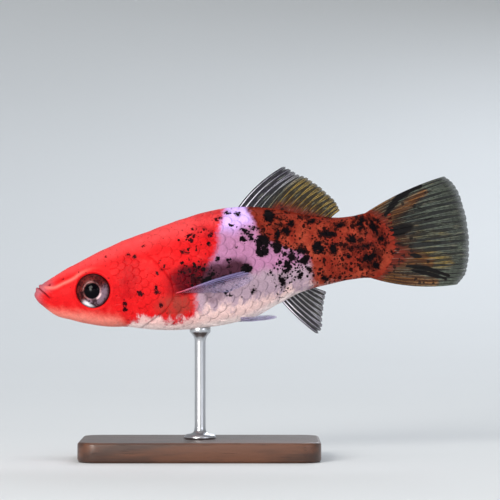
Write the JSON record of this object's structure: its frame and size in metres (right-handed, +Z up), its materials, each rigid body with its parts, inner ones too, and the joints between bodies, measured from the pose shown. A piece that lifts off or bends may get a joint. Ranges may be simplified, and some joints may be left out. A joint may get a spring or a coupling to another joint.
{
  "type": "swordtail",
  "caption": "Life-size swordtail fish, an adult female with a rounded tail fin, nose down on a plain display stand: flat base and slim rod under the belly.",
  "frame": {"origin": "middle of the underside of the stand's base, on the surface that it stands on", "axes": "+X from the fish's head towards its tail, level; +Y to the fish's right; +Z up, away from the surface that the stand rests on"},
  "size_m": [0.0872, 0.0315, 0.0586],
  "materials": {
    "skin": "wet satin, red to white to rust with black blotches",
    "iris": "wet gloss",
    "pupil": "wet gloss",
    "fins": "clear membrane with paler rays",
    "stand_wood": "satin",
    "stand_metal": "brushed"
  },
  "bodies": {
    "root": {"head": "skin", "lower_jaw": "skin", "gill_cover_left": "skin", "gill_cover_right": "skin", "trunk": "skin", "tail_stalk": "skin", "eye_left": "iris", "eye_right": "iris", "pupil_left": "pupil", "pupil_right": "pupil", "dorsal_fin": "fins", "anal_fin": "fins", "tail_fin": "fins", "pectoral_fin_left": "fins", "pectoral_fin_right": "fins", "pelvic_fin_left": "fins", "pelvic_fin_right": "fins", "stand_base": "stand_wood", "stand_rod": "stand_metal"}
  },
  "joints": []
}
